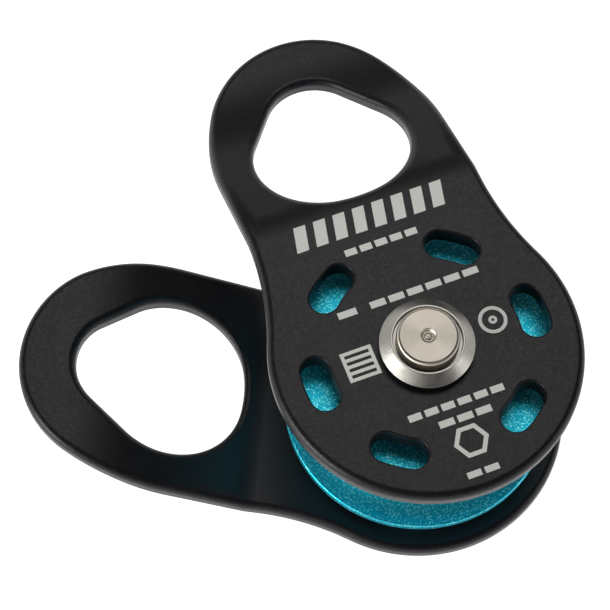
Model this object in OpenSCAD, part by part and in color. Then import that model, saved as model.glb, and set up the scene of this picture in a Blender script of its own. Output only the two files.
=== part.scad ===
// Swing-cheek rope pulley, lying with its axle upright.
// The origin is the centre of the rope groove: on the axle's axis, halfway between the cheeks.
// The front cheek points along +Y and the rear cheek is swung open from it about the axle.

/* [Pose] */
// Angle between the two cheek plates as they lie
open_angle = 64.5; // [25:0.1:180]

/* [Rope and sheave] */
// Largest rope diameter the groove takes
rope_d = 12.9; // [10:0.1:16]
// Play between the largest rope and the groove
rope_play = 0.3; // [0.1:0.1:1]
// Width of each flange beside the groove
rim_w = 1.6; // [1.2:0.1:3]
// How far the flanges stop short of the rope's centre line
rim_short = 0.5; // [0:0.1:2]
// Wall between the bearing bore and the bottom of the groove
tread_wall = 1.9; // [1.2:0.1:4]
// Width of the rib between the two bearings
rib_w = 2.4; // [1:0.1:4]
// How far that rib reaches in behind the bearings' outer races
rib_reach = 2.2; // [0.5:0.1:2.4]
// Rounding of each flange's outer edge
rim_round = 0.5; // [0.2:0.1:0.7]

/* [Cheek plates] */
// Plate thickness
cheek_t = 3.2; // [2.5:0.1:4.5]
// Gap between a cheek's inner face and the side of the sheave
side_gap = 2; // [1:0.1:4]
// How far the round end reaches past the sheave's flanges
cheek_cover = 2.5; // [1:0.1:6]
// Width of the plate on each side of the eye
neck_wall = 5.7; // [4:0.1:9]
// Width of the plate around the eye's narrow end
tip_wall = 8.4; // [5:0.1:10]
// Distance from the centre of the eye's narrow end out to the centre of the tip's arc
tip_shift = -0.4; // [-2:0.1:2]
// Radius of the hollow between the round end and the neck
waist_r = 41.2; // [20:0.5:60]
// Radius of the shoulders between the neck and the tip
shoulder_r = 28.6; // [20:0.1:40]

/* [Cheek bends] */
// Slope of the plate between its two bends
bend_angle = 24.4; // [15:0.1:35]
// Distance from the sheave's rim to the start of the first bend
bend_clear = 2.6; // [0.3:0.1:4]
// Outer radius of the first bend
bend_out_r = 12.3; // [8:0.1:20]
// Outer-face radius of the second bend
bend_back_r = 30; // [8:0.1:35]
// Gap left between the two tips when the cheeks are closed
tip_gap = 0.3; // [0.2:0.1:4]

/* [Carabiner eye] */
// Radius of the eye's two corners nearest the axle
eye_r = 9.9; // [7:0.1:12]
// Distance of those corners' centres from the cheek's axis
eye_spread = 1.4; // [0.5:0.1:3]
// Radius of the eye's edge between the two corners
eye_base_r = 18.6; // [15:0.1:30]
// How much smaller than the corners' the radius of the narrow end is
eye_taper = 2.9; // [0:0.1:4]
// Distance along the cheek from the corners' centres to the narrow end's
eye_run = 6.7; // [5:0.1:9]
// Distance from the sheave's rim to the eye
eye_clear = 5.9; // [2:0.1:12]

/* [Slots] */
// Distance from the round end's edge to the circle that the slots lie on
slot_in = 6.1; // [4.5:0.1:7]
// Slot width
slot_w = 4.1; // [2:0.1:5]
// Angle that each slot's centre line spans
slot_span = 14; // [5:0.5:22]
// Angle from the cheek's axis to its nearest slots
slot_angle = 35.5; // [30:0.1:45]

/* [Axle] */
// Shank diameter, which is the bearings' bore
axle_d = 8; // [6:0.1:10]
// How far the rivet's round heads reach past its shank
head_over = 0.3; // [0.1:0.05:1]
// Height of each head above the cheek's outer face
head_h = 3.9; // [3.3:0.05:5.5]
// Rounding of each head's shoulder
head_round = 0.9; // [0.3:0.1:1.5]
// Radius of the turned pip in each head
pip_r = 0.95; // [0.5:0.05:1.5]
// Depth of the ring around the pip
pip_depth = 0.35; // [0.1:0.05:0.6]

/* [Washers and bushes] */
// Gap around the head in the cap washer's recess
cap_gap = 0.45; // [0.1:0.05:1]
// Width of the cap washer's flat land around that recess
cap_land = 0.25; // [0.1:0.05:1]
// Width of the cap washer's bevel
cap_bevel = 1.5; // [1:0.1:3]
// Height of a cap washer's top above the cheek's outer face
cap_top = 2.6; // [2:0.1:3.2]
// Height of the cap washer's edge where its bevel starts
cap_edge = 1.3; // [0.9:0.1:1.6]
// Depth of the recess around the head
cap_recess = 0.6; // [0.3:0.1:1]
// Thickness of the friction washer under each cap washer
friction_t = 0.5; // [0.3:0.05:0.8]
// Step from the cap washer's edge in to the friction washer's
friction_step = 0.3; // [0.1:0.1:0.6]
// Wall of each cheek's bush
bush_wall = 1.4; // [1:0.1:2]
// Step from the edge of the inner race in to the thrust washer's
thrust_step = 0.1; // [0:0.05:0.5]

/* [Ball bearings] */
// Outer diameter of each bearing
bearing_d = 22; // [19:0.1:27]
// Number of balls in each bearing
ball_count = 7; // [6:1:8]
// Ball diameter as a share of the height between the bearing's bore and its outside
ball_share = 0.567; // [0.5:0.001:0.6]
// Height of each race's shoulder measured in from the ball's centre circle
shoulder_gap = 1.3; // [1:0.05:1.5]
// Depth of the shields below the bearing's faces
shield_in = 0.3; // [0.1:0.05:0.4]
// Shield thickness
shield_t = 0.3; // [0.2:0.05:0.4]
// Depth of the shields' seat in the outer race
shield_seat = 0.5; // [0.3:0.05:0.6]
// Radial width of the ball cage
cage_w = 1.2; // [0.8:0.1:1.6]
// Thickness of the cage's ring past the balls
cage_rim = 0.5; // [0.3:0.05:0.7]

/* [Clearances] */
// Radial clearance of a running fit
run_fit = 0.05; // [0.02:0.01:0.08]
// Axial clearance between faces that turn against each other
face_fit = 0.05; // [0.02:0.01:0.1]
// Clearance between a ball and its races or its pocket
ball_fit = 0.06; // [0.03:0.01:0.1]
// Clearance between a shield and the inner race
shield_fit = 0.2; // [0.1:0.05:0.4]

/* [Hidden] */
$fn = 96;
// Degrees between the points of an outline's arcs, and of a slot's round ends
arc_step = 4;
end_step = 10;
// Overlap that keeps cuts clear of the faces they pass
eps = 0.01;
// How far a cutting shape reaches past the solid it cuts
through = 1;

// Sheave
groove_r = (rope_d + rope_play) / 2;
sheave_w = 2 * (groove_r + rim_w);
tread_r = bearing_d / 2 + tread_wall;
flange_r = tread_r + groove_r - rim_short;
rib_r = bearing_d / 2 - rib_reach;

// Axle stack, as heights above the middle of the groove
inner_face = sheave_w / 2 + side_gap;
outer_face = inner_face + cheek_t;
axle_r = axle_d / 2;
run_r = axle_r + run_fit;
bush_r = run_r + bush_wall;
head_seat = outer_face + cap_top - cap_recess;
head_top = outer_face + head_h;
head_r = axle_r + head_over;
cap_recess_r = head_r + cap_gap;
cap_land_r = cap_recess_r + cap_land;
cap_r = cap_land_r + cap_bevel;

// Bearings
bearing_w = (sheave_w - rib_w) / 2;
bearing_mid = (sheave_w - bearing_w) / 2;
// Largest ball whose cage still clears the shields
ball_room_r = bearing_w / 2 - shield_in - shield_t - shield_fit - cage_rim - ball_fit;
ball_r = min(ball_share * (bearing_d / 2 - axle_r) / 2, ball_room_r);
ball_pitch_r = (axle_r + bearing_d / 2) / 2;
inner_shoulder_r = ball_pitch_r - shoulder_gap;
outer_shoulder_r = ball_pitch_r + shoulder_gap;
shield_r = outer_shoulder_r + shield_seat;
cage_top = ball_r + ball_fit + cage_rim;
cage_bottom = 0.6 * ball_r;
thrust_r = inner_shoulder_r - thrust_step;

// Cheek outline in plan, with +X from the axle to the eye
cheek_r = flange_r + cheek_cover;
eye_base = flange_r + eye_clear + eye_base_r;
eye_base_dir = 180 - asin(eye_spread / (eye_base_r - eye_r));
eye_dist = eye_base + (eye_base_r - eye_r) * cos(eye_base_dir);
eye_side_dir = acos(eye_taper / norm([eye_run, eye_spread])) - atan2(eye_spread, eye_run);
eye_tip_r = eye_r - eye_taper;
neck_half_w = eye_r + eye_spread + neck_wall;
tip_r = eye_tip_r + tip_wall;
tip_dist = eye_dist + eye_run + tip_shift;
slot_pitch_r = cheek_r - slot_in;
waist_x = sqrt((cheek_r - neck_half_w) * (cheek_r + neck_half_w + 2 * waist_r));
waist_y = neck_half_w + waist_r;
waist_dir = atan2(waist_y, waist_x);
shoulder_y = neck_half_w - shoulder_r;
shoulder_x = tip_dist - sqrt(pow(shoulder_r - tip_r, 2) - pow(shoulder_y, 2));
tip_dir = atan2(-shoulder_y, tip_dist - shoulder_x);

// Cheek side profile: flat, bend in, slope, bend back, flat tip
bend_start = flange_r + bend_clear;
slope_drop = inner_face - tip_gap / 2 - (bend_out_r + bend_back_r) * (1 - cos(bend_angle));
slope_run = slope_drop / tan(bend_angle);
back_end = bend_start + slope_run + (bend_out_r + bend_back_r) * sin(bend_angle);
tip_drop = inner_face - tip_gap / 2;

slot_dirs = [for (side = [-1, 1], dir = [slot_angle, 90, 180 - slot_angle]) side * dir];

// ---- shared shapes ----

// Points along an arc, about one every step degrees
function arc(center, r, from, to, step = arc_step) = let(n = ceil(abs(to - from) / step))
    [for (i = [0 : n]) let(a = from + (to - from) * i / n) center + r * [cos(a), sin(a)]];

function reversed(points) = [for (i = [len(points) - 1 : -1 : 0]) points[i]];

// Closes a half outline that starts and ends on the x axis with its mirror image
function both_sides(half) = concat(half, [for (i = [len(half) - 2 : -1 : 1]) [half[i].x, -half[i].y]]);

// Ring between two radii, standing on z = 0
module ring(inner, outer, h) {
    difference() {
        cylinder(r = outer, h = h);
        translate([0, 0, -eps]) cylinder(r = inner, h = h + 2 * eps);
    }
}

// Copies the front half of the axle stack to the back
module at_rear() {
    mirror([0, 0, 1]) children();
}

// Turns the rear cheek's parts to where the plate lies
module rear_swing() {
    rotate([0, 0, open_angle]) at_rear() children();
}

// Puts a cheek's own +X axis along +Y
module cheek_frame() {
    rotate([0, 0, 90]) children();
}

// ---- cheek plate ----

// Outline of the whole plate: round end, waist, neck, shoulder, tip and back again
module cheek_2d() {
    half = concat(
        arc([0, 0], cheek_r, 180, waist_dir),
        arc([waist_x, waist_y], waist_r, waist_dir - 180, -90),
        arc([shoulder_x, shoulder_y], shoulder_r, 90, tip_dir),
        arc([tip_dist, 0], tip_r, tip_dir, 0)
    );
    polygon(both_sides(half));
}

// Egg-shaped carabiner eye, narrow end away from the axle
module eye_2d() {
    half = concat(
        arc([eye_base, 0], eye_base_r, 180, eye_base_dir),
        arc([eye_dist, eye_spread], eye_r, eye_base_dir, eye_side_dir),
        arc([eye_dist + eye_run, 0], eye_tip_r, eye_side_dir, 0)
    );
    polygon(both_sides(half));
}

// Kidney slot centred on the direction dir
module slot_2d(dir) {
    start = dir - slot_span / 2;
    end = dir + slot_span / 2;
    end_r = slot_w / 2;
    polygon(concat(
        arc([0, 0], slot_pitch_r + end_r, start, end),
        arc(slot_pitch_r * [cos(end), sin(end)], end_r, end, end + 180, end_step),
        arc([0, 0], slot_pitch_r - end_r, end, start),
        arc(slot_pitch_r * [cos(start), sin(start)], end_r, start + 180, start + 360, end_step)
    ));
}

// One face of the bent plate in side view: x outward from the axle, y up.
// The face is at height top on the flat: cheek_t for the outer face and 0 for the inner.
function face_line(top) = let(
    bend_r = bend_out_r - cheek_t + top,
    back_r = bend_back_r + cheek_t - top
) concat(
    [[-cheek_r - through, top]],
    arc([bend_start, top - bend_r], bend_r, 90, 90 - bend_angle),
    arc([back_end, top - tip_drop + back_r], back_r, -90 - bend_angle, -90),
    [[tip_dist + tip_r + through, top - tip_drop]]
);

// Side view of the plate: flat, bend in, slope, bend back, flat tip
module profile_2d() {
    polygon(concat(face_line(cheek_t), reversed(face_line(0))));
}

// Bent plate with its eye, slots and bore, as the front cheek
module cheek_plate() {
    deep = 2 * outer_face;
    difference() {
        intersection() {
            translate([0, 0, inner_face]) rotate([90, 0, 0])
                translate([0, 0, -cheek_r - through]) linear_extrude(2 * (cheek_r + through)) profile_2d();
            translate([0, 0, -deep]) linear_extrude(2 * deep) cheek_2d();
        }
        translate([0, 0, -deep]) linear_extrude(2 * deep) eye_2d();
        for (dir = slot_dirs)
            translate([0, 0, inner_face - through]) linear_extrude(cheek_t + 2 * through) slot_2d(dir);
        translate([0, 0, inner_face - through]) cylinder(r = bush_r, h = cheek_t + 2 * through);
    }
}

module cheek_bush() {
    translate([0, 0, inner_face]) ring(run_r, bush_r, cheek_t);
}

// ---- sheave ----

// Half section of the sheave: x is the radius, y the height
module sheave_half_2d() {
    side = sheave_w / 2;
    difference() {
        union() {
            translate([bearing_d / 2, 0]) square([flange_r - rim_round - bearing_d / 2, side]);
            translate([flange_r - rim_round - eps, 0]) square([rim_round + eps, side - rim_round]);
            translate([flange_r - rim_round, side - rim_round]) circle(r = rim_round);
            translate([rib_r, 0]) square([tread_r - rib_r, rib_w / 2]);
        }
        translate([tread_r + groove_r, 0]) circle(r = groove_r);
    }
}

module sheave_wheel() {
    rotate_extrude() {
        sheave_half_2d();
        mirror([0, 1]) sheave_half_2d();
    }
}

// ---- axle and washers ----

// Round head with a turned pip, standing on z = 0
module rivet_head() {
    h = head_top - head_seat;
    rotate_extrude() difference() {
        union() {
            square([head_r, h - head_round]);
            square([head_r - head_round, h]);
            translate([head_r - head_round, h - head_round]) circle(r = head_round);
        }
        translate([pip_r / 2, h - pip_depth]) square([pip_r / 2, pip_depth + through]);
    }
}

module axle_pin() {
    translate([0, 0, -head_seat]) cylinder(r = axle_r, h = 2 * head_seat);
    translate([0, 0, head_seat]) rivet_head();
    at_rear() translate([0, 0, head_seat]) rivet_head();
}

module cap_washer() {
    base = outer_face + face_fit + friction_t;
    translate([0, 0, base]) rotate_extrude() polygon([
        [axle_r, 0], [cap_r, 0], [cap_r, outer_face + cap_edge - base],
        [cap_land_r, outer_face + cap_top - base], [cap_recess_r, outer_face + cap_top - base],
        [cap_recess_r, head_seat - base], [axle_r, head_seat - base]
    ]);
}

module friction_washer() {
    translate([0, 0, outer_face + face_fit]) ring(axle_r, cap_r - friction_step, friction_t);
}

module thrust_washer() {
    translate([0, 0, sheave_w / 2]) ring(axle_r, thrust_r, side_gap - face_fit);
}

// ---- ball bearing, centred on z = 0 ----

module ball_groove() {
    rotate_extrude() translate([ball_pitch_r, 0]) circle(r = ball_r + ball_fit, $fn = 60);
}

module inner_race() {
    difference() {
        translate([0, 0, -bearing_w / 2]) ring(axle_r, inner_shoulder_r, bearing_w);
        ball_groove();
    }
}

module outer_race() {
    seat = shield_in + shield_t;
    difference() {
        translate([0, 0, -bearing_w / 2]) ring(outer_shoulder_r, bearing_d / 2, bearing_w);
        ball_groove();
        for (side = [0, 1]) mirror([0, 0, side])
            translate([0, 0, bearing_w / 2 - seat]) cylinder(r = shield_r, h = seat + through);
    }
}

module balls() {
    for (i = [0 : ball_count - 1])
        rotate([0, 0, i * 360 / ball_count]) translate([ball_pitch_r, 0, 0]) sphere(r = ball_r, $fn = 48);
}

module cage() {
    difference() {
        translate([0, 0, -cage_bottom])
            ring(ball_pitch_r - cage_w / 2, ball_pitch_r + cage_w / 2, cage_bottom + cage_top);
        for (i = [0 : ball_count - 1])
            rotate([0, 0, i * 360 / ball_count]) translate([ball_pitch_r, 0, 0])
                sphere(r = ball_r + ball_fit, $fn = 48);
    }
}

module shield() {
    translate([0, 0, bearing_w / 2 - shield_in - shield_t])
        ring(inner_shoulder_r + shield_fit, shield_r, shield_t);
}

module front_bearing() {
    translate([0, 0, bearing_mid]) children();
}

module rear_bearing() {
    at_rear() front_bearing() children();
}

// ---- nodes ----

module front_cheek() { color("#2e2b2e") cheek_frame() cheek_plate(); }
module rear_cheek() { color("#2a2a2c") rear_swing() cheek_frame() cheek_plate(); }
module front_cheek_bush() { color("#3a3a38") cheek_bush(); }
module rear_cheek_bush() { color("#3a3a38") rear_swing() cheek_bush(); }
module sheave() { color("#2e8fa5") sheave_wheel(); }
module axle() { color("#cfc9bf") axle_pin(); }
module front_cap_washer() { color("#c6c3bb") cap_washer(); }
module rear_cap_washer() { color("#c6c3bb") at_rear() cap_washer(); }
module front_friction_washer() { color("#1c1c1e") friction_washer(); }
module rear_friction_washer() { color("#1c1c1e") at_rear() friction_washer(); }
module front_thrust_washer() { color("#b9b9b6") thrust_washer(); }
module rear_thrust_washer() { color("#b9b9b6") at_rear() thrust_washer(); }
module bearing_spacer() {
    color("#b9b9b6") translate([0, 0, -rib_w / 2]) ring(axle_r, inner_shoulder_r, rib_w);
}
module front_bearing_inner_race() { color("#a9adb0") front_bearing() inner_race(); }
module front_bearing_outer_race() { color("#a9adb0") front_bearing() outer_race(); }
module front_bearing_balls() { color("#dfe2e4") front_bearing() balls(); }
module front_bearing_cage() { color("#8f8a7a") front_bearing() cage(); }
module front_bearing_outer_shield() { color("#9a9ea1") front_bearing() shield(); }
module front_bearing_inner_shield() { color("#9a9ea1") front_bearing() at_rear() shield(); }
module rear_bearing_inner_race() { color("#a9adb0") rear_bearing() inner_race(); }
module rear_bearing_outer_race() { color("#a9adb0") rear_bearing() outer_race(); }
module rear_bearing_balls() { color("#dfe2e4") rear_bearing() balls(); }
module rear_bearing_cage() { color("#8f8a7a") rear_bearing() cage(); }
module rear_bearing_outer_shield() { color("#9a9ea1") rear_bearing() shield(); }
module rear_bearing_inner_shield() { color("#9a9ea1") rear_bearing() at_rear() shield(); }

front_cheek();
rear_cheek();
front_cheek_bush();
rear_cheek_bush();
sheave();
axle();
front_cap_washer();
rear_cap_washer();
front_friction_washer();
rear_friction_washer();
front_thrust_washer();
rear_thrust_washer();
bearing_spacer();
front_bearing_inner_race();
front_bearing_outer_race();
front_bearing_balls();
front_bearing_cage();
front_bearing_outer_shield();
front_bearing_inner_shield();
rear_bearing_inner_race();
rear_bearing_outer_race();
rear_bearing_balls();
rear_bearing_cage();
rear_bearing_outer_shield();
rear_bearing_inner_shield();
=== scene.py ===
"""Looks of a swing-cheek rope pulley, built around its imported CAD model.

Lengths below are in millimetres and are scaled by MM when a mesh is made.
"""

import math

import bpy
import numpy as np
from mathutils import Matrix, Vector
from mathutils.geometry import delaunay_2d_cdt


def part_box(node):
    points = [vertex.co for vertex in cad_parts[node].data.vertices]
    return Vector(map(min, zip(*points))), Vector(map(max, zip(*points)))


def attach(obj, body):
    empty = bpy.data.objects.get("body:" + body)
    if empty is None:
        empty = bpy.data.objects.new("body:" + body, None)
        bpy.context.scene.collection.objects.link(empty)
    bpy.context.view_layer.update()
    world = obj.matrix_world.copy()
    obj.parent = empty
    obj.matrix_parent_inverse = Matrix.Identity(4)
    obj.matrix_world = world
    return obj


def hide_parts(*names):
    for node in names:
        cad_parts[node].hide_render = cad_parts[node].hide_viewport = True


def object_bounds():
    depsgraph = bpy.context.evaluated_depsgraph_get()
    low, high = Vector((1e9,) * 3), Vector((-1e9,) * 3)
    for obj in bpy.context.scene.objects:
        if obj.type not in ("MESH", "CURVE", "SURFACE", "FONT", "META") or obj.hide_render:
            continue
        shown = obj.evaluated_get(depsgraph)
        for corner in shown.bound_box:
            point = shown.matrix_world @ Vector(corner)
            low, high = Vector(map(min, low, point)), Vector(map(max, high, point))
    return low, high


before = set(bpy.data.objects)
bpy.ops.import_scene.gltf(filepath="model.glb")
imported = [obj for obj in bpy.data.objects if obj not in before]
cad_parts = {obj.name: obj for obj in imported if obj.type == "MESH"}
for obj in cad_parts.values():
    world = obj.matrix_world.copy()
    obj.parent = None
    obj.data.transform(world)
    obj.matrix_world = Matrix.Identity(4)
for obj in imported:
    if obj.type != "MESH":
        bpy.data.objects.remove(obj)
cad_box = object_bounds()

MM = 0.001


def top_of(node):
    """Highest z of a CAD node, in millimetres."""
    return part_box(node)[1].z / MM


# ---- sizes that the CAD model gives ----
INNER_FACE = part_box("front_cheek_bush")[0].z / MM
OUTER_FACE = top_of("front_cheek_bush")
HEAD_TOP = top_of("axle")
CAP_TOP = top_of("front_cap_washer")
CAP_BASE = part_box("front_cap_washer")[0].z / MM
SHEAVE_SIDE = top_of("sheave")
FLANGE_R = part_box("sheave")[1].x / MM
CHEEK_R = -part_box("front_cheek")[0].y / MM
CAP_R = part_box("front_cap_washer")[1].x / MM
FRICTION_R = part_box("front_friction_washer")[1].x / MM
BUSH_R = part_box("front_cheek_bush")[1].x / MM
THRUST_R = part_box("front_thrust_washer")[1].x / MM
SPACER_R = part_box("bearing_spacer")[1].x / MM
SPACER_TOP = top_of("bearing_spacer")
BEARING_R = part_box("front_bearing_outer_race")[1].x / MM
SHIELD_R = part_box("front_bearing_outer_shield")[1].x / MM
CHEEK_T = OUTER_FACE - INNER_FACE

# ---- cheek plate, with +x from the axle to the eye ----
OPEN_ANGLE = math.radians(64.5)
EYE_R, EYE_SPREAD, EYE_BASE_R, EYE_TAPER, EYE_RUN, EYE_CLEAR = 9.9, 1.4, 18.6, 2.9, 6.7, 5.9
NECK_WALL, TIP_WALL, TIP_SHIFT = 5.7, 8.4, -0.4
WAIST_R, SHOULDER_R = 41.2, 28.6
BEND, BEND_CLEAR, BEND_OUT_R, BEND_BACK_R, TIP_GAP = math.radians(24.4), 2.6, 12.3, 30.0, 0.3
SLOT_IN, SLOT_W, SLOT_SPAN, SLOT_ANGLE = 6.1, 4.1, 14.0, 35.5

EYE_BASE_X = FLANGE_R + EYE_CLEAR + EYE_BASE_R
EYE_BASE_DIR = 180 - math.degrees(math.asin(EYE_SPREAD / (EYE_BASE_R - EYE_R)))
EYE_X = EYE_BASE_X + (EYE_BASE_R - EYE_R) * math.cos(math.radians(EYE_BASE_DIR))
EYE_SIDE_DIR = math.degrees(math.acos(EYE_TAPER / math.hypot(EYE_RUN, EYE_SPREAD))
                            - math.atan2(EYE_SPREAD, EYE_RUN))
EYE_TIP_R = EYE_R - EYE_TAPER
NECK_HALF = EYE_R + EYE_SPREAD + NECK_WALL
TIP_R = EYE_TIP_R + TIP_WALL
TIP_X = EYE_X + EYE_RUN + TIP_SHIFT
SLOT_PITCH = CHEEK_R - SLOT_IN
WAIST_X = math.sqrt((CHEEK_R - NECK_HALF) * (CHEEK_R + NECK_HALF + 2 * WAIST_R))
WAIST_Y = NECK_HALF + WAIST_R
WAIST_DIR = math.degrees(math.atan2(WAIST_Y, WAIST_X))
SHOULDER_Y = NECK_HALF - SHOULDER_R
SHOULDER_X = TIP_X - math.sqrt((SHOULDER_R - TIP_R) ** 2 - SHOULDER_Y ** 2)
TIP_DIR = math.degrees(math.atan2(-SHOULDER_Y, TIP_X - SHOULDER_X))

BEND_START = FLANGE_R + BEND_CLEAR
TIP_DROP = INNER_FACE - TIP_GAP / 2
SLOPE_DROP = TIP_DROP - (BEND_OUT_R + BEND_BACK_R) * (1 - math.cos(BEND))
BACK_END = BEND_START + SLOPE_DROP / math.tan(BEND) + (BEND_OUT_R + BEND_BACK_R) * math.sin(BEND)

# roundings of the plate's edges
EDGE_ROUND = 1.15
EYE_ROUND = 1.1
SLOT_ROUND = 0.28
BORE_ROUND = 0.15
# spacing of the mesh points inside the plate's faces
FLAT_STEP, TIP_STEP, ROW_STEP, ROW_SHIFT, EDGE_MARGIN = 1.9, 1.4, 1.7, 0.4, 0.7
BEND_ROWS = 44


def face_height(x, top):
    """Height and slope of a cheek face at x; top is CHEEK_T for the outer face and 0 for the inner."""
    x = np.asarray(x, float)
    r1 = BEND_OUT_R - CHEEK_T + top
    r2 = BEND_BACK_R + CHEEK_T - top
    a = BEND_START + r1 * math.sin(BEND)
    b = BACK_END - r2 * math.sin(BEND)
    u = np.clip(x - BEND_START, 0, r1 * math.sin(BEND))
    w = np.clip(BACK_END - x, 0, r2 * math.sin(BEND))
    first = -r1 + np.sqrt(r1 ** 2 - u ** 2)
    last = -TIP_DROP + r2 - np.sqrt(r2 ** 2 - w ** 2)
    z_a = -r1 * (1 - math.cos(BEND))
    slope = z_a - math.tan(BEND) * (x - a)
    z = np.where(x < a, first, np.where(x < b, slope, last))
    dz = np.where(x < a, -u / np.sqrt(r1 ** 2 - u ** 2),
                  np.where(x < b, -math.tan(BEND), -w / np.sqrt(r2 ** 2 - w ** 2)))
    return INNER_FACE + top + z, dz


# ---- mesh helpers ----

def piece(name, points, faces, normals, material, slot, body, *nodes):
    """A mesh piece: points in mm, one normal for each face corner. It rides on body and stands for nodes."""
    mesh = bpy.data.meshes.new(name)
    mesh.from_pydata((np.asarray(points) * MM).tolist(), [], faces)
    mesh.polygons.foreach_set("use_smooth", [True] * len(faces))
    mesh.normals_split_custom_set([tuple(n) for n in normals])
    mesh.materials.append(material)
    obj = bpy.data.objects.new(name, mesh)
    bpy.context.scene.collection.objects.link(obj)
    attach(obj, body)
    if nodes:
        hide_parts(*nodes)
    return obj


def line(r0, z0, r1, z1):
    """A straight stretch of a lathe profile. The solid lies on its left."""
    d = math.hypot(r1 - r0, z1 - z0)
    n = ((z1 - z0) / d, (r0 - r1) / d)
    return [((r0, z0), (r1, z1), n, n)]


def bend(r, z, radius, start, end, count):
    """A round stretch of a lathe profile, convex if end is above start. Angles are in degrees."""
    side = 1 if end > start else -1
    angles = np.radians(np.linspace(start, end, count + 1))
    dirs = [(math.cos(a), math.sin(a)) for a in angles]
    at = [(r + radius * c, z + radius * s) for c, s in dirs]
    out = [(side * c, side * s) for c, s in dirs]
    return [(at[i], at[i + 1], out[i], out[i + 1]) for i in range(count)]


def corners(points, closed=True):
    """A lathe profile through corners (r, z, rounding), with the solid on its left."""
    n = len(points)
    at = [np.array(p[:2], float) for p in points]
    ends = []
    for i in range(n):
        f = points[i][2]
        if f == 0 or (not closed and i in (0, n - 1)):
            ends.append((at[i], at[i], []))
            continue
        a = at[i] - at[i - 1]
        b = at[(i + 1) % n] - at[i]
        a, b = a / np.linalg.norm(a), b / np.linalg.norm(b)
        turn = math.atan2(a[0] * b[1] - a[1] * b[0], a @ b)
        side = 1 if turn > 0 else -1
        cut = f * math.tan(abs(turn) / 2)
        p = at[i] - a * cut
        c = p + side * f * np.array((-a[1], a[0]))
        start = math.degrees(math.atan2(*(p - c)[::-1]))
        ends.append((p, at[i] + b * cut,
                     bend(c[0], c[1], f, start, start + math.degrees(turn), max(3, int(abs(turn) * 4)))))
    out = []
    for i in range(n if closed else n - 1):
        out += ends[i][2]
        p, q = ends[i][1], ends[(i + 1) % n][0]
        if np.linalg.norm(q - p) > 1e-6:
            out += line(p[0], p[1], q[0], q[1])
    return out


def mirrored(profile):
    """The same profile below z = 0."""
    down = lambda p: (p[0], -p[1])
    return [(down(q), down(p), down(nq), down(np_)) for p, q, np_, nq in reversed(profile)]


def lathe(profile, steps=240):
    """Points, faces and corner normals of a profile turned about the axle."""
    rings, points, faces, normals = {}, [], [], []
    turn = [(math.cos(a), math.sin(a)) for a in np.arange(steps) * 2 * math.pi / steps]

    def ring(p):
        key = (round(p[0], 5), round(p[1], 5))
        if key not in rings:
            first = len(points)
            if abs(p[0]) < 1e-5:
                points.append((0, 0, p[1]))
                rings[key] = [first] * steps
            else:
                points.extend((p[0] * c, p[0] * s, p[1]) for c, s in turn)
                rings[key] = list(range(first, first + steps))
        return rings[key]

    for p, q, n_p, n_q in profile:
        a, b = ring(p), ring(q)
        for j in range(steps):
            k = (j + 1) % steps
            corner = [(a[j], n_p, j), (a[k], n_p, k), (b[k], n_q, k), (b[j], n_q, j)]
            if a[j] == a[k]:
                corner.pop(0)
            elif b[j] == b[k]:
                corner.pop(3)
            faces.append([c[0] for c in corner])
            normals.extend((n[0] * turn[i][0], n[0] * turn[i][1], n[1]) for _, n, i in corner)
    return points, faces, normals


def at_rear(shape):
    """A lathe shape mirrored to the back half of the axle."""
    points, faces, normals = shape
    flipped, start, out = [], 0, []
    for face in faces:
        corner = normals[start:start + len(face)]
        start += len(face)
        flipped.append(face[::-1])
        out.extend((n[0], n[1], -n[2]) for n in corner[::-1])
    return [(x, y, -z) for x, y, z in points], flipped, out


def ring_of(inner, outer, low, high, rounding):
    """A plain ring with rounded edges."""
    return lathe(corners([(inner, low, rounding), (outer, low, rounding),
                          (outer, high, rounding), (inner, high, rounding)]))


# ---- cheek plate mesh ----

def arc(x, y, r, start, end, step=0.55):
    """Points on an arc and the directions from its centre. Angles are in degrees."""
    count = max(2, math.ceil(abs(math.radians(end - start)) * r / step))
    a = np.radians(np.linspace(start, end, count + 1))
    out = np.column_stack((np.cos(a), np.sin(a)))
    return np.array((x, y)) + r * out, out


def closed(half):
    """A loop from its upper half and that half's mirror image, without repeated points."""
    points = np.vstack([p for p, _ in half])
    out = np.vstack([n for _, n in half])
    keep = np.r_[True, np.linalg.norm(np.diff(points, axis=0), axis=1) > 1e-6]
    points, out = points[keep], out[keep]
    flip = np.array((1, -1))
    return np.vstack((points, points[-2:0:-1] * flip)), np.vstack((out, out[-2:0:-1] * flip))


def outer_loop():
    """The plate's outline. The waist curves inward, so its directions are turned round."""
    p, n = zip(arc(0, 0, CHEEK_R, 180, WAIST_DIR),
               arc(WAIST_X, WAIST_Y, WAIST_R, WAIST_DIR - 180, -90),
               arc(SHOULDER_X, SHOULDER_Y, SHOULDER_R, 90, TIP_DIR),
               arc(TIP_X, 0, TIP_R, TIP_DIR, 0))
    return closed(list(zip(p, (n[0], -n[1], n[2], n[3]))))


def eye_loop():
    """The carabiner eye: a flat base arc, two side arcs and a smaller arc toward the tip."""
    return closed([arc(EYE_BASE_X, 0, EYE_BASE_R, 180, EYE_BASE_DIR, 0.45),
                   arc(EYE_X, EYE_SPREAD, EYE_R, EYE_BASE_DIR, EYE_SIDE_DIR, 0.45),
                   arc(EYE_X + EYE_RUN, 0, EYE_TIP_R, EYE_SIDE_DIR, 0, 0.45)])


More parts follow.
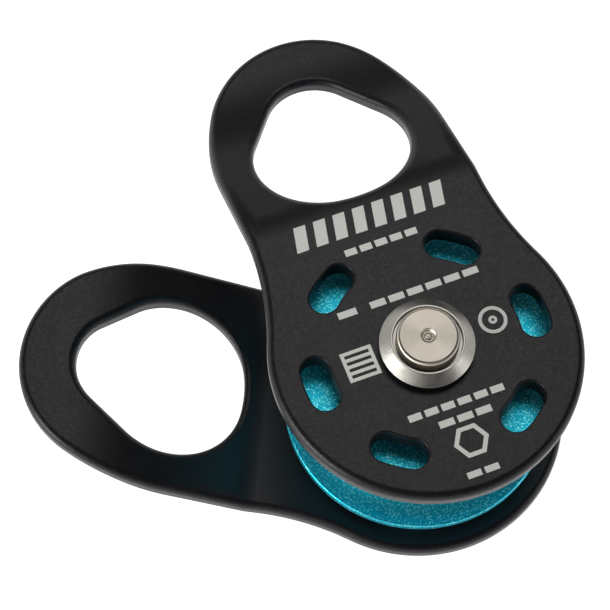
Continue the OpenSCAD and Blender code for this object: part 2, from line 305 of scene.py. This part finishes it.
def slot_loop(middle):
    """A slot along a circle about the axle, centred on the direction middle, in degrees."""
    a, b = middle - SLOT_SPAN / 2, middle + SLOT_SPAN / 2
    end = lambda d: (SLOT_PITCH * math.cos(math.radians(d)), SLOT_PITCH * math.sin(math.radians(d)))
    r = SLOT_W / 2
    outer = arc(0, 0, SLOT_PITCH + r, a, b, 0.3)
    inner = arc(0, 0, SLOT_PITCH - r, b, a, 0.3)
    parts = [outer, arc(*end(b), r, b, b + 180, 0.25), (inner[0], -inner[1]),
             arc(*end(a), r, a + 180, a + 360, 0.25)]
    return (np.vstack([p[:-1] for p, _ in parts]), np.vstack([n[:-1] for _, n in parts]))


def wound(loop, inward):
    """A loop as (points, directions out of the material), run with the material on its left."""
    points, out = loop
    x, y = points.T
    area = np.sum(x * np.roll(y, -1) - y * np.roll(x, -1)) / 2
    if (area > 0) == inward:
        points, out = points[::-1], out[::-1]
    return points, -out if inward else out


def inside(at, loops):
    """Which of the points lie in the material between the loops."""
    hits = np.zeros(len(at), int)
    for loop in loops:
        a, b = loop, np.roll(loop, -1, axis=0)
        for (x0, y0), (x1, y1) in zip(a, b):
            if y0 == y1:
                continue
            cross = (y0 > at[:, 1]) != (y1 > at[:, 1])
            hits += cross & (at[:, 0] < x0 + (at[:, 1] - y0) * (x1 - x0) / (y1 - y0))
    return hits % 2 == 1


def cheek_shape():
    """Points, faces and corner normals of the bent plate in its own frame."""
    loops = [(wound(outer_loop(), False), EDGE_ROUND), (wound(eye_loop(), True), EYE_ROUND)]
    for side in (-1, 1):
        for middle in (SLOT_ANGLE, 90, 180 - SLOT_ANGLE):
            loops.append((wound(slot_loop(side * middle), True), SLOT_ROUND))
    loops.append((wound(arc(0, 0, BUSH_R, 0, 360, 0.3), True), BORE_ROUND))
    loops[-1] = ((loops[-1][0][0][:-1], loops[-1][0][1][:-1]), BORE_ROUND)

    points, normals, faces, edge = [], [], [], []
    rims = {CHEEK_T: [], 0: []}
    for (at, out), rounding in loops:
        n, rows = len(at), []
        angles = np.radians(np.linspace(90, 0, 9 if rounding > 0.5 else 5))
        sections = [(CHEEK_T, a) for a in angles] + [(0, a) for a in angles[::-1]]
        for face, a in sections:
            sign = 1 if face else -1
            p = at - out * rounding * (1 - math.cos(a))
            z, dz = face_height(p[:, 0], face)
            z = z - sign * rounding * (1 - math.sin(a))
            normal = np.column_stack((-sign * dz * math.sin(a) + math.cos(a) * out[:, 0],
                                      math.cos(a) * out[:, 1], np.full(n, sign * math.sin(a))))
            rows.append(len(points))
            points.extend(np.column_stack((p, z)))
            normals.extend(normal / np.linalg.norm(normal, axis=1)[:, None])
            edge.extend([math.sin(2 * a) * min(1, rounding)] * n)
        rims[CHEEK_T].append(range(rows[0], rows[0] + n))
        rims[0].append(range(rows[-1], rows[-1] + n))
        for up, down in zip(rows, rows[1:]):
            for j in range(n):
                k = (j + 1) % n
                faces.append([up + j, down + j, down + k, up + k])

    # a grid inside each face, closer together across the bends
    flat = np.arange(-CHEEK_R, BEND_START, FLAT_STEP)
    bent = np.linspace(BEND_START, BACK_END, BEND_ROWS)
    rest = np.arange(BACK_END + 1, TIP_X + TIP_R, TIP_STEP)
    columns = np.r_[flat, bent, rest]
    grid = np.array([(x, y + ROW_SHIFT * (i % 2)) for i, x in enumerate(columns)
                     for y in np.arange(-CHEEK_R, CHEEK_R, ROW_STEP)])
    for face, loops_of in rims.items():
        sign = 1 if face else -1
        outlines = [np.array([points[i][:2] for i in r]) for r in loops_of]
        around = np.vstack(outlines)
        free = grid[inside(grid, outlines)]
        near = np.array([np.min(np.sum((around - g) ** 2, axis=1)) for g in free])
        free = free[near > EDGE_MARGIN ** 2]
        ids = [i for r in loops_of for i in r]
        z, dz = face_height(free[:, 0], face)
        first = len(points)
        points.extend(np.column_stack((free, z)))
        normal = np.column_stack((-sign * dz, np.zeros(len(free)), np.full(len(free), sign)))
        normals.extend(normal / np.linalg.norm(normal, axis=1)[:, None])
        edge.extend([0] * len(free))
        ids += range(first, len(points))
        borders, start = [], 0
        for r in loops_of:
            borders += [(start + j, start + (j + 1) % len(r)) for j in range(len(r))]
            start += len(r)
        flat_points = [Vector(points[i][:2]) for i in ids]
        _, _, triangles, source, _, _ = delaunay_2d_cdt(flat_points, borders, [], 0, 1e-7)
        own = [s[0] for s in source]
        triangles = np.array([[own[i] for i in t] for t in triangles])
        xy = np.array([points[i][:2] for i in ids])
        triangles = triangles[inside(xy[triangles].mean(axis=1), outlines)]
        for t in triangles:
            a, b, c = xy[t]
            ccw = (b[0] - a[0]) * (c[1] - a[1]) - (b[1] - a[1]) * (c[0] - a[0]) > 0
            t = t if ccw == bool(face) else t[::-1]
            faces.append([ids[i] for i in t])
    return np.array(points), faces, np.array(normals), edge


def cheek(name, shape, rear, material, body, node):
    """One cheek turned to its place at rest, with an edge value that lets the finish wear there."""
    points, faces, normals, edge = shape
    turn = math.pi / 2 + (OPEN_ANGLE if rear else 0)
    c, s = math.cos(turn), math.sin(turn)
    if rear:
        # the outline is symmetric about x, so a half turn about x is the mirror image in z
        flip = np.array((1, -1, -1))
        points, normals = points * flip, normals * flip
    spin = np.array(((c, s, 0), (-s, c, 0), (0, 0, 1)))
    points, normals = points @ spin, normals @ spin
    corner = [normals[i] for f in faces for i in f]
    obj = piece(name, points, faces, corner, material, "anodised_black", body, node)
    worn = obj.data.attributes.new("edge", "FLOAT", "POINT")
    worn.data.foreach_set("value", np.array(edge, np.float32))
    return obj


# ---- materials ----

class Finish:
    """A Principled material and the nodes that feed it."""

    def __init__(self, name, **sockets):
        self.material = bpy.data.materials.new(name)
        self.material.use_nodes = True
        self.tree = self.material.node_tree
        self.shader = self.tree.nodes["Principled BSDF"]
        for key, value in sockets.items():
            self.shader.inputs[key.replace("_", " ")].default_value = value
        self.place = self.tree.nodes.new("ShaderNodeTexCoord").outputs["Object"]

    def node(self, kind, settings=(), **links):
        made = self.tree.nodes.new(kind)
        for key, value in dict(settings).items():
            setattr(made, key, value)
        for key, value in links.items():
            key = int(key[1:]) if key[0] == "i" and key[1:].isdigit() else key.replace("_", " ")
            if isinstance(value, bpy.types.NodeSocket):
                self.tree.links.new(value, made.inputs[key])
            else:
                made.inputs[key].default_value = value
        return made

    def noise(self, size, detail=2.0, rough=0.5, place=None):
        """Noise with features of about size millimetres, from 0 to 1."""
        return self.node("ShaderNodeTexNoise", Vector=place or self.place, Scale=1 / (size * MM),
                         Detail=detail, Roughness=rough).outputs["Fac"]

    def cells(self, size):
        """A random value from 0 to 1 in each grain of about size millimetres."""
        made = self.node("ShaderNodeTexVoronoi", Vector=self.place, Scale=1 / (size * MM))
        return self.node("ShaderNodeSeparateColor", i0=made.outputs["Color"]).outputs[0]

    def math(self, kind, a, b=0.0):
        return self.node("ShaderNodeMath", {"operation": kind}, i0=a, i1=b).outputs[0]

    def spread(self, value, low, high, start=0.0, end=1.0):
        made = self.node("ShaderNodeMapRange", Value=value)
        for key, v in (("From Min", start), ("From Max", end), ("To Min", low), ("To Max", high)):
            made.inputs[key].default_value = v
        return made.outputs["Result"]

    def mix(self, factor, a, b):
        made = self.node("ShaderNodeMix", {"data_type": "RGBA"})
        self.tree.links.new(factor, made.inputs["Factor"])
        for socket, value in ((made.inputs[6], a), (made.inputs[7], b)):
            if isinstance(value, bpy.types.NodeSocket):
                self.tree.links.new(value, socket)
            else:
                socket.default_value = (*value, 1)
        return made.outputs[2]

    def bump(self, height, depth, strength=1.0, under=None):
        """Relief of depth millimetres."""
        made = self.node("ShaderNodeBump", Height=height, Distance=depth * MM, Strength=strength)
        if under is not None:
            self.tree.links.new(under, made.inputs["Normal"])
        return made.outputs["Normal"]

    def radius(self):
        """Distance from the axle's axis in millimetres, as a vector for ring patterns."""
        parts = self.node("ShaderNodeSeparateXYZ", Vector=self.place)
        flat = self.node("ShaderNodeCombineXYZ", X=parts.outputs["X"], Y=parts.outputs["Y"])
        far = self.node("ShaderNodeVectorMath", {"operation": "LENGTH"}, i0=flat.outputs[0])
        return self.node("ShaderNodeCombineXYZ", X=far.outputs["Value"], Z=parts.outputs["Z"]).outputs[0]

    def feed(self, **links):
        for key, value in links.items():
            self.tree.links.new(value, self.shader.inputs[key.replace("_", " ")])
        return self.material


def black_anodised():
    f = Finish("anodised_black", Metallic=0.0, IOR=1.45, Specular_IOR_Level=0.42)
    blotch = f.noise(9, 3)
    grain = f.cells(0.22)
    base = f.mix(blotch, (0.0052, 0.0042, 0.0058), (0.0078, 0.0063, 0.0086))
    worn = f.node("ShaderNodeAttribute", {"attribute_name": "edge"}).outputs["Fac"]
    bare = f.math("MULTIPLY", worn, f.spread(f.noise(0.5, 4), 0.0, 0.45, 0.45, 0.8))
    colour = f.mix(bare, base, (0.035, 0.035, 0.037))
    rough = f.math("ADD", f.spread(grain, 0.32, 0.44), f.spread(blotch, -0.03, 0.03))
    fine = f.bump(f.noise(0.13, 2), 0.006, 0.55)
    normal = f.bump(grain, 0.008, 0.5, fine)
    return f.feed(Base_Color=colour, Roughness=rough, Normal=normal)


def teal_anodised():
    f = Finish("anodised_teal", Metallic=0.85)
    grain = f.cells(0.15)
    blotch = f.noise(5, 3)
    base = f.mix(blotch, (0.004, 0.36, 0.50), (0.010, 0.52, 0.69))
    # painted sparkle: the brightest grains get a near-white teal, painted glints of light in the colour
    colour = f.mix(f.spread(grain, 0, 1, 0.72, 0.95), base, (0.24, 0.96, 1.0))
    rough = f.spread(f.noise(0.4, 2), 0.28, 0.42)
    coarse = f.bump(f.noise(0.2, 2, 0.6), 0.022, 0.8)
    normal = f.bump(grain, 0.028, 0.8, coarse)
    return f.feed(Base_Color=colour, Roughness=rough, Normal=normal)


def turned_steel(name, tone, roughness, marks, grain=0.35):
    """Turned stainless steel: fine rings about the axle, broken up by faint handling marks."""
    f = Finish(name, Metallic=1.0, Anisotropic=0.8)
    rings = f.noise(marks, 4, 0.65, f.radius())
    smudge = f.noise(1.6, 4, 0.6)
    dark = tuple(0.82 * c for c in tone)
    colour = f.mix(smudge, dark, tone)
    rough = f.math("ADD", f.spread(rings, roughness - 0.06, roughness + 0.06),
                   f.spread(smudge, -0.04, 0.06))
    normal = f.bump(f.noise(0.15, 2), 0.002, grain, f.bump(rings, 0.0015, 0.6))
    tangent = f.node("ShaderNodeTangent", {"direction_type": "RADIAL", "axis": "Z"}).outputs[0]
    f.tree.links.new(tangent, f.shader.inputs["Tangent"])
    return f.feed(Base_Color=colour, Roughness=rough, Normal=normal)


def ground_steel(name, tone, roughness):
    """Plain bearing steel with fine scratches."""
    f = Finish(name, Metallic=1.0)
    scratch = f.noise(0.3, 5, 0.7)
    colour = f.mix(f.noise(2.5, 3), tuple(0.8 * c for c in tone), tone)
    rough = f.spread(scratch, roughness - 0.07, roughness + 0.09)
    return f.feed(Base_Color=colour, Roughness=rough, Normal=f.bump(scratch, 0.002, 0.5))


def polymer(name, tone, roughness):
    """Matte moulded polymer with a fine grain."""
    f = Finish(name, Metallic=0.0)
    grain = f.noise(0.12, 3)
    colour = f.mix(f.noise(1.8, 3), tuple(0.75 * c for c in tone), tone)
    rough = f.spread(grain, roughness - 0.06, roughness + 0.08)
    return f.feed(Base_Color=colour, Roughness=rough, Normal=f.bump(grain, 0.004, 0.6))


def etched():
    """Laser-etched marks: a pale, slightly uneven matte grey."""
    f = Finish("etched_grey", Metallic=0.6)
    grain = f.noise(0.12, 3, 0.7)
    colour = f.mix(grain, (0.66, 0.65, 0.61), (0.90, 0.89, 0.85))
    return f.feed(Base_Color=colour, Roughness=f.spread(grain, 0.42, 0.6),
                  Normal=f.bump(grain, 0.004, 0.5))


BLACK = black_anodised()
TEAL = teal_anodised()
HEAD_STEEL = turned_steel("turned_stainless", (0.64, 0.585, 0.50), 0.38, 0.3, 0.25)
CAP_STEEL = turned_steel("bevelled_stainless", (0.46, 0.44, 0.40), 0.28, 0.12)
PLAIN_STEEL = turned_steel("washer_stainless", (0.62, 0.61, 0.60), 0.32, 0.2)
RACE_STEEL = ground_steel("bearing_steel", (0.55, 0.56, 0.57), 0.22)
BALL_STEEL = ground_steel("ball_steel", (0.72, 0.73, 0.74), 0.12)
CAGE_STEEL = ground_steel("cage_steel", (0.42, 0.38, 0.30), 0.38)
SHIELD_STEEL = turned_steel("shield_steel", (0.55, 0.56, 0.57), 0.30, 0.3)
FRICTION = polymer("friction_polymer", (0.020, 0.020, 0.022), 0.55)
BUSH = polymer("bush_polymer", (0.035, 0.035, 0.033), 0.5)
ETCHED = etched()

# ---- cheeks ----
plate = cheek_shape()
cheek("front_cheek_shell", plate, False, BLACK, "front_cheek_plate", "front_cheek")
cheek("rear_cheek_shell", plate, True, BLACK, "rear_cheek_plate", "rear_cheek")

# ---- plain etched marks on the front cheek: rows of bars, a striped square, a ring and a hexagon ----
MARK_RISE = 0.015
MARK_SINK = 0.1


def bars(x0, x1, y0, y1, count, gap, lean=0.0):
    """A row of bars between x0 and x1, each leaning to the right by lean."""
    width = (x1 - x0 - lean - gap * (count - 1)) / count
    up = np.linspace(0, 1, 5)
    for i in range(count):
        left = np.column_stack((x0 + i * (width + gap) + lean * up, y0 + (y1 - y0) * up))
        yield left, left + (width, 0), False


def band(x, y, outer, inner, sides):
    """A closed band: a ring if it has many sides."""
    a = np.arange(sides) * 2 * math.pi / sides
    around = np.column_stack((np.cos(a), np.sin(a)))
    return (x, y) + inner * around, (x, y) + outer * around, True


def etched_marks(marks):
    """Points, faces and corner normals of thin marks that follow the outer face of the front cheek."""
    points, faces, normals = [], [], []
    for left, right, is_closed in marks:
        n, first = len(left), len(points)
        at = np.vstack((left, right))
        z, _ = face_height(at[:, 1], CHEEK_T)
        points.extend(np.column_stack((at, z + MARK_RISE)))
        points.extend(np.column_stack((at, z - MARK_SINK)))
        made = []
        for i in range(n if is_closed else n - 1):
            j = (i + 1) % n
            made += [[i, n + i, n + j, j], [2 * n + j, 3 * n + j, 3 * n + i, 2 * n + i],
                     [i, j, 2 * n + j, 2 * n + i], [n + j, n + i, 3 * n + i, 3 * n + j]]
        if not is_closed:
            made += [[0, 2 * n, 3 * n, n], [2 * n - 1, 4 * n - 1, 3 * n - 1, n - 1]]
        for face in made:
            face = [first + i for i in face]
            a, b, c = (points[i] for i in face[:3])
            normal = np.cross(b - a, c - b)
            faces.append(face)
            normals.extend([normal / np.linalg.norm(normal)] * 4)
    return points, faces, normals


piece("front_cheek_marks", *etched_marks([
    *bars(-11.4, 11.3, 18.9, 22.7, 8, 1.15, 0.8),
    *bars(-5.3, 5.3, 16.1, 17.1, 5, 0.5),
    *bars(-9.6, -6.9, 7.7, 8.7, 1, 0), *bars(-4.9, 10.9, 7.7, 8.7, 6, 0.5),
    *bars(-11.5, -11.0, -1.4, 3.0, 1, 0), *bars(-7.5, -7.0, -1.4, 3.0, 1, 0),
    *[bar for i in range(5) for bar in bars(-11.0, -7.5, -1.4 + 0.975 * i, -0.9 + 0.975 * i, 1, 0)],
    band(9.9, 0.5, 2.0, 1.5, 48), band(9.9, 0.5, 0.6, 0.2, 24),
    *bars(-6.2, 7.5, -9.4, -8.4, 6, 0.5), *bars(-2.7, 4.8, -11.6, -10.6, 3, 0.5),
    band(0.5, -14.5, 2.5, 1.8, 6), *bars(-1.9, 2.6, -19.4, -18.5, 2, 0.5),
]), ETCHED, "anodised_black", "front_cheek_plate")

# ---- sheave ----
GROOVE_R = 6.6
TREAD_R = 12.9
RIB_W = 2.4
RIB_R = 8.8
RIM_ROUND = 0.5
LIP_ROUND = 0.4
SEAT_ROUND = 0.3


def sheave_profile():
    """Groove, rims, dished bearing seats and the rib between them."""
    groove_x = TREAD_R + GROOVE_R
    lip_r = FLANGE_R - LIP_ROUND
    lip_z = math.sqrt((GROOVE_R + LIP_ROUND) ** 2 - (groove_x - lip_r) ** 2)
    lip_dir = math.degrees(math.atan2(lip_z, lip_r - groove_x))
    rim_r, rim_z = FLANGE_R - RIM_ROUND, SHEAVE_SIDE - RIM_ROUND
    half = bend(groove_x, 0, GROOVE_R, 180, lip_dir, 28)
    half += bend(lip_r, lip_z, LIP_ROUND, lip_dir - 180, 0, 6)
    half += line(FLANGE_R, lip_z, FLANGE_R, rim_z)
    half += bend(rim_r, rim_z, RIM_ROUND, 0, 90, 6)
    half += corners([(rim_r, SHEAVE_SIDE, 0), (BEARING_R, SHEAVE_SIDE, SEAT_ROUND),
                     (BEARING_R, RIB_W / 2, 0.15), (RIB_R, RIB_W / 2, 0.2), (RIB_R, 0, 0)], closed=False)
    return mirrored(half) + half


piece("sheave_wheel", *lathe(sheave_profile(), 288), TEAL, "anodised_teal", "wheel", "sheave")

# ---- axle, with a turned pip in each rounded head ----
AXLE_R = 4.0
HEAD_R = 4.3
HEAD_SEAT = 15.4
HEAD_LIP = 0.6
FACE_DIP = 0.02
PIP_DEPTH = 0.3
PIP_R = 0.95


def axle_profile():
    """Pin and heads, each head with a lip, a slightly lower face and a pip with a dome in it."""
    face = HEAD_TOP - FACE_DIP
    half = corners([(AXLE_R, 0, 0), (AXLE_R, HEAD_SEAT, 0), (HEAD_R, HEAD_SEAT, 0.05),
                    (HEAD_R, HEAD_TOP, HEAD_LIP), (PIP_R + 0.08, face, 0.12),
                    (PIP_R - 0.2, face - PIP_DEPTH, 0.12), (PIP_R - 0.38, face - PIP_DEPTH, 0.12),
                    (0.3, face - 0.08, 0.12), (0, face - 0.05, 0)], closed=False)
    return mirrored(half) + half


piece("axle_pin", *lathe(axle_profile()), HEAD_STEEL, "stainless", "axle_assembly", "axle")

# ---- cap washers ----
CAP_EDGE = OUTER_FACE + 1.3
CAP_RECESS_R = 4.75
CAP_LAND_R = 5.0
BUSH_FIT = 0.05
cap = lathe(corners([
    (AXLE_R, CAP_BASE, 0.05), (CAP_R, CAP_BASE, 0.08), (CAP_R, CAP_EDGE, 0.12), (CAP_LAND_R, CAP_TOP, 0.1),
    (CAP_RECESS_R, CAP_TOP, 0.06), (CAP_RECESS_R, HEAD_SEAT, 0.08), (AXLE_R, HEAD_SEAT, 0)]))
friction = ring_of(AXLE_R, FRICTION_R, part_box("front_friction_washer")[0].z / MM, CAP_BASE, 0.06)
thrust = ring_of(AXLE_R, THRUST_R, SHEAVE_SIDE, top_of("front_thrust_washer"), 0.12)
bush = ring_of(AXLE_R + BUSH_FIT, BUSH_R, INNER_FACE, OUTER_FACE, 0.08)
for end, place in (("front", lambda shape: shape), ("rear", at_rear)):
    piece(end + "_cap", *place(cap), CAP_STEEL, "stainless_bevelled", "axle_assembly", end + "_cap_washer")
    piece(end + "_friction_ring", *place(friction), FRICTION, "friction_polymer", "axle_assembly",
          end + "_friction_washer")
    piece(end + "_thrust_ring", *place(thrust), PLAIN_STEEL, "stainless_plain", "axle_assembly",
          end + "_thrust_washer")
    piece(end + "_bush_sleeve", *place(bush), BUSH, "bush_polymer", end + "_cheek_plate",
          end + "_cheek_bush")
spacer = corners([(SPACER_R, 0, 0), (SPACER_R, SPACER_TOP, 0.1), (AXLE_R, SPACER_TOP, 0.1), (AXLE_R, 0, 0)],
                 closed=False)
piece("spacer_tube", *lathe(mirrored(spacer) + spacer), PLAIN_STEEL, "stainless_plain", "axle_assembly",
      "bearing_spacer")

# ---- bearings: pressed shields with a rolled edge, and better finishes on the CAD races and balls ----
SHIELD_TOP = top_of("front_bearing_outer_shield")
SHIELD_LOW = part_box("front_bearing_outer_shield")[0].z / MM
SHIELD_IN = 6.4
SHIELD_STEP = 0.12
OUTER_ROLL, INNER_ROLL = 0.5, 0.35
ROLL_RUN = 0.2
shield = lathe(corners([
    (SHIELD_IN, SHIELD_LOW, 0.05), (SHIELD_R, SHIELD_LOW, 0.05), (SHIELD_R, SHIELD_TOP, 0.1),
    (SHIELD_R - OUTER_ROLL, SHIELD_TOP, 0.12),
    (SHIELD_R - OUTER_ROLL - ROLL_RUN, SHIELD_TOP - SHIELD_STEP, 0.12),
    (SHIELD_IN + 0.5, SHIELD_TOP - SHIELD_STEP, 0.12), (SHIELD_IN + INNER_ROLL, SHIELD_TOP, 0.08),
    (SHIELD_IN, SHIELD_TOP, 0.08)]))
shift = SHIELD_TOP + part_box("front_bearing_inner_shield")[0].z / MM
inner_shield = at_rear(([(x, y, z - shift) for x, y, z in shield[0]], *shield[1:]))
for end, place in (("front", lambda shape: shape), ("rear", at_rear)):
    piece(end + "_outer_cover", *place(shield), SHIELD_STEEL, "shield_steel", "wheel",
          end + "_bearing_outer_shield")
    piece(end + "_inner_cover", *place(inner_shield), SHIELD_STEEL, "shield_steel", "wheel",
          end + "_bearing_inner_shield")
    for part, finish in (("inner_race", RACE_STEEL), ("outer_race", RACE_STEEL),
                         ("balls", BALL_STEEL), ("cage", CAGE_STEEL)):
        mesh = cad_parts[end + "_bearing_" + part].data
        mesh.materials.clear()
        mesh.materials.append(finish)

# ---- floor, light and camera ----
bpy.context.view_layer.update()
FLOOR_HALF = 1.5
floor_mesh = bpy.data.meshes.new("floor")
low = cad_box[0].z
floor_corners = ((-1, -1), (1, -1), (1, 1), (-1, 1))
floor_mesh.from_pydata([(x * FLOOR_HALF, y * FLOOR_HALF, low) for x, y in floor_corners],
                       [], [(0, 1, 2, 3)])
floor = bpy.data.objects.new("floor", floor_mesh)
bpy.context.scene.collection.objects.link(floor)
paper = Finish("floor_paper", Roughness=0.9, Emission_Color=(1, 1, 1, 1), Emission_Strength=0.9)
paper.feed(Base_Color=paper.mix(paper.noise(40, 2), (0.88, 0.88, 0.88), (0.90, 0.90, 0.90)))
floor_mesh.materials.append(paper.material)


LIGHT_DISTANCE = 0.8


def softbox(name, azimuth, elevation, width, height, radiance):
    """A soft area light that shines at the target from a direction given in degrees."""
    light = bpy.data.lights.new(name, "AREA")
    light.shape = "RECTANGLE"
    light.size, light.size_y = width, height
    light.energy = math.pi * width * height * radiance
    obj = bpy.data.objects.new(name, light)
    a, e = math.radians(azimuth), math.radians(elevation)
    away = Vector((math.sin(a) * math.cos(e), -math.cos(a) * math.cos(e), math.sin(e)))
    obj.location = TARGET + away * LIGHT_DISTANCE
    obj.rotation_euler = away.to_track_quat("Z", "Y").to_euler()
    bpy.context.scene.collection.objects.link(obj)


TARGET = Vector((-10.86, 16.75, 0)) * MM
softbox("light_over", 157, 66, 0.56, 0.46, 1.75)
softbox("light_left", -80, 16, 0.50, 0.24, 11.0)
softbox("light_right", 52, 18, 0.22, 0.22, 2.4)

# a sky that is pale at the horizon and dark overhead
world = bpy.data.worlds.new("studio")
bpy.context.scene.world = world
world.use_nodes = True
sky_nodes, sky_links = world.node_tree.nodes, world.node_tree.links
upward = sky_nodes.new("ShaderNodeSeparateXYZ")
sky_links.new(sky_nodes.new("ShaderNodeTexCoord").outputs["Generated"], upward.inputs[0])
fade = sky_nodes.new("ShaderNodeMapRange")
fade.interpolation_type = "SMOOTHSTEP"
sky_links.new(upward.outputs["Z"], fade.inputs["Value"])
for socket, value in (("From Min", 0.05), ("From Max", 0.5), ("To Min", 0.75), ("To Max", 0.04)):
    fade.inputs[socket].default_value = value
sky_nodes["Background"].inputs["Color"].default_value = (1, 1, 1, 1)
sky_links.new(fade.outputs["Result"], sky_nodes["Background"].inputs["Strength"])
bpy.context.scene.view_settings.view_transform = "Standard"

CAMERA_AZIMUTH = math.radians(-23.34)
CAMERA_ELEVATION = math.radians(66.55)
CAMERA_ROLL = math.radians(2.65)
CAMERA_DISTANCE = 302.31 * MM
lens = bpy.data.cameras.new("camera")
lens.lens = 125.2
lens.sensor_width = 36
lens.clip_start = 0.01
camera = bpy.data.objects.new("camera", lens)
ca, sa = math.cos(CAMERA_AZIMUTH), math.sin(CAMERA_AZIMUTH)
ce, se = math.cos(CAMERA_ELEVATION), math.sin(CAMERA_ELEVATION)
back = Vector((sa * ce, -ca * ce, se))
level = Vector((ca, sa, 0))
upright = back.cross(level)
right = math.cos(CAMERA_ROLL) * level + math.sin(CAMERA_ROLL) * upright
up = back.cross(right)
eye = TARGET + back * CAMERA_DISTANCE
camera.matrix_world = Matrix(((right.x, up.x, back.x, eye.x), (right.y, up.y, back.y, eye.y),
                              (right.z, up.z, back.z, eye.z), (0, 0, 0, 1)))
bpy.context.scene.collection.objects.link(camera)
bpy.context.scene.camera = camera

bpy.context.view_layer.update()
